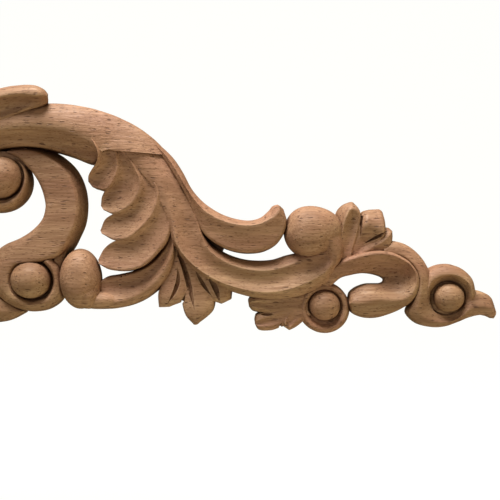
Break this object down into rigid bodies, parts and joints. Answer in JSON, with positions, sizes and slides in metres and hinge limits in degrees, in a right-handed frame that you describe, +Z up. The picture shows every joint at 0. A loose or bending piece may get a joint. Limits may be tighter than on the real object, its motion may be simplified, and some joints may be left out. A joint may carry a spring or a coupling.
{
  "type": "carved wood applique",
  "caption": "Carved and pierced wooden applique of mirrored acanthus scrolls with volutes, beads and leaves, and a flat back.",
  "frame": {"origin": "on the flat back, behind the bud at the middle of the carving", "axes": "+Y out of the flat back, into the surface it is fixed to; +X along the length, to the right seen from the front; +Z up"},
  "size_m": [0.4002, 0.0157, 0.1004],
  "materials": {
    "bare_wood": "sanded and left bare"
  },
  "bodies": {
    "root": {"carved_applique": "bare_wood"}
  },
  "joints": []
}
